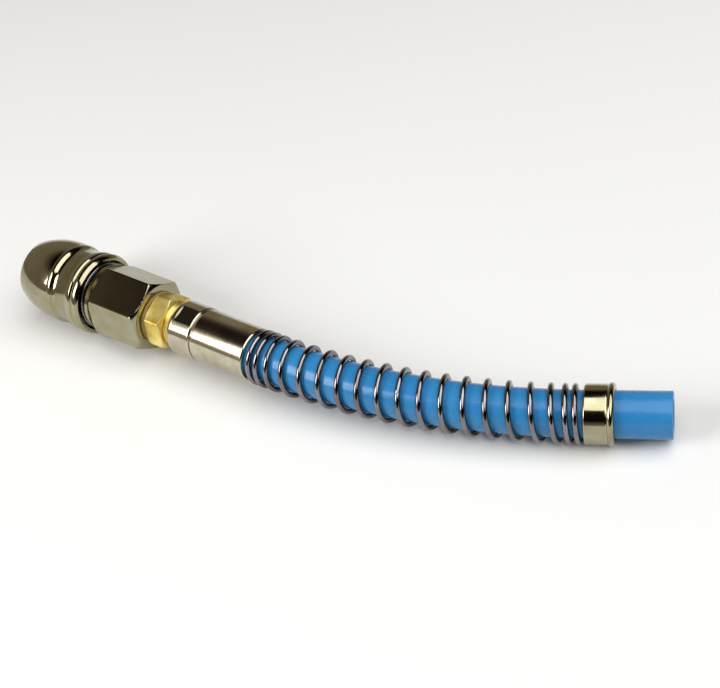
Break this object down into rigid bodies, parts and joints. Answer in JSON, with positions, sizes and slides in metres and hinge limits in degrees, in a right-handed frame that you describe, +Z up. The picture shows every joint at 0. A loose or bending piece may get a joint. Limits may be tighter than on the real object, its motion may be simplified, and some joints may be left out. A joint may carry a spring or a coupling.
{
  "type": "quick disconnect coupler",
  "caption": "Push-to-connect air coupler with a sliding release sleeve, hex body, brass hose stem, hose nut and a bent spring guard round the hose end.",
  "frame": {"origin": "on the coupler's axis where the plug bore's cylindrical wall starts, behind its chamfered mouth", "axes": "+X along the coupler from the plug mouth to the hose, +Z up as it lies on a floor, +Y the side the guard bends towards"},
  "size_m": [0.1953, 0.0472, 0.0238],
  "materials": {
    "nickel_plate": "bright nickel plating on turned steel",
    "nickel_soft": "nickel plating on brass, slightly duller",
    "steel": "machined steel",
    "ball_steel": "polished bearing steel",
    "spring_steel": "nickel-plated drawn wire",
    "brass": "turned brass",
    "black_rubber": "nitrile rubber",
    "fibre_washer": "pressed fibre",
    "blue_hose": "smooth polyurethane"
  },
  "bodies": {
    "coupler_body": {"nose_body": "nickel_soft", "snap_ring": "steel", "plug_packing": "black_rubber", "body_o_ring": "black_rubber", "hex_body": "nickel_plate", "valve_plate": "brass", "thread_washer": "fibre_washer", "hose_stem": "brass", "hose_nut": "nickel_soft", "return_spring": "spring_steel", "valve_spring": "spring_steel"},
    "slip_washer": {"slip_washer": "steel"},
    "sleeve": {"release_sleeve": "nickel_plate"},
    "valve": {"valve_poppet": "brass", "valve_seal": "black_rubber"},
    "guard": {"guard_spring": "spring_steel"},
    "guard_end": {"guard_end_ring": "nickel_plate", "hose": "blue_hose"},
    "ball_1": {"lock_ball_1": "ball_steel"},
    "ball_2": {"lock_ball_2": "ball_steel"},
    "ball_3": {"lock_ball_3": "ball_steel"},
    "ball_4": {"lock_ball_4": "ball_steel"},
    "ball_5": {"lock_ball_5": "ball_steel"},
    "ball_6": {"lock_ball_6": "ball_steel"}
  },
  "joints": [
    {"name": "sleeve_slide", "type": "slide", "parent": "coupler_body", "child": "slip_washer", "axis": [1, 0, 0], "range_m": [0, 0.0024], "stiffness_N_per_m": 2000, "springref_m": -0.004, "deforming": ["return_spring"]},
    {"name": "sleeve_spin", "type": "hinge", "parent": "slip_washer", "child": "sleeve", "pos_m": [0.015, 0, 0], "axis": [1, 0, 0], "continuous": true},
    {"name": "valve_slide", "type": "slide", "parent": "coupler_body", "child": "valve", "axis": [1, 0, 0], "range_m": [0, 0.004], "stiffness_N_per_m": 800, "springref_m": -0.004, "deforming": ["valve_spring"]},
    {"name": "guard_bend_front", "type": "hinge", "parent": "coupler_body", "child": "guard", "pos_m": [0.10695, 0.0013, 0], "axis": [0, 0, 1], "range_deg": [-13, 17], "stiffness_Nm_per_rad": 0.6, "deforming": ["guard_spring"]},
    {"name": "guard_bend_rear", "type": "hinge", "parent": "guard", "child": "guard_end", "pos_m": [0.15168, 0.01163, 0], "axis": [0, 0, 1], "range_deg": [-13, 17], "stiffness_Nm_per_rad": 0.6, "deforming": ["hose"]},
    {"name": "ball_1_slide", "type": "slide", "parent": "coupler_body", "child": "ball_1", "axis": [0, 0, 1], "range_m": [0, 0.0009]},
    {"name": "ball_2_slide", "type": "slide", "parent": "coupler_body", "child": "ball_2", "axis": [0, -0.866, 0.5], "range_m": [0, 0.0009]},
    {"name": "ball_3_slide", "type": "slide", "parent": "coupler_body", "child": "ball_3", "axis": [0, -0.866, -0.5], "range_m": [0, 0.0009]},
    {"name": "ball_4_slide", "type": "slide", "parent": "coupler_body", "child": "ball_4", "axis": [0, 0, -1], "range_m": [0, 0.0009]},
    {"name": "ball_5_slide", "type": "slide", "parent": "coupler_body", "child": "ball_5", "axis": [0, 0.866, -0.5], "range_m": [0, 0.0009]},
    {"name": "ball_6_slide", "type": "slide", "parent": "coupler_body", "child": "ball_6", "axis": [0, 0.866, 0.5], "range_m": [0, 0.0009]}
  ],
  "couplings": [
    {"joint": "guard_bend_rear", "follows": "guard_bend_front", "ratio": 1},
    {"joint": "ball_1_slide", "follows": "sleeve_slide", "ratio": 0.375},
    {"joint": "ball_2_slide", "follows": "sleeve_slide", "ratio": 0.375},
    {"joint": "ball_3_slide", "follows": "sleeve_slide", "ratio": 0.375},
    {"joint": "ball_4_slide", "follows": "sleeve_slide", "ratio": 0.375},
    {"joint": "ball_5_slide", "follows": "sleeve_slide", "ratio": 0.375},
    {"joint": "ball_6_slide", "follows": "sleeve_slide", "ratio": 0.375}
  ]
}
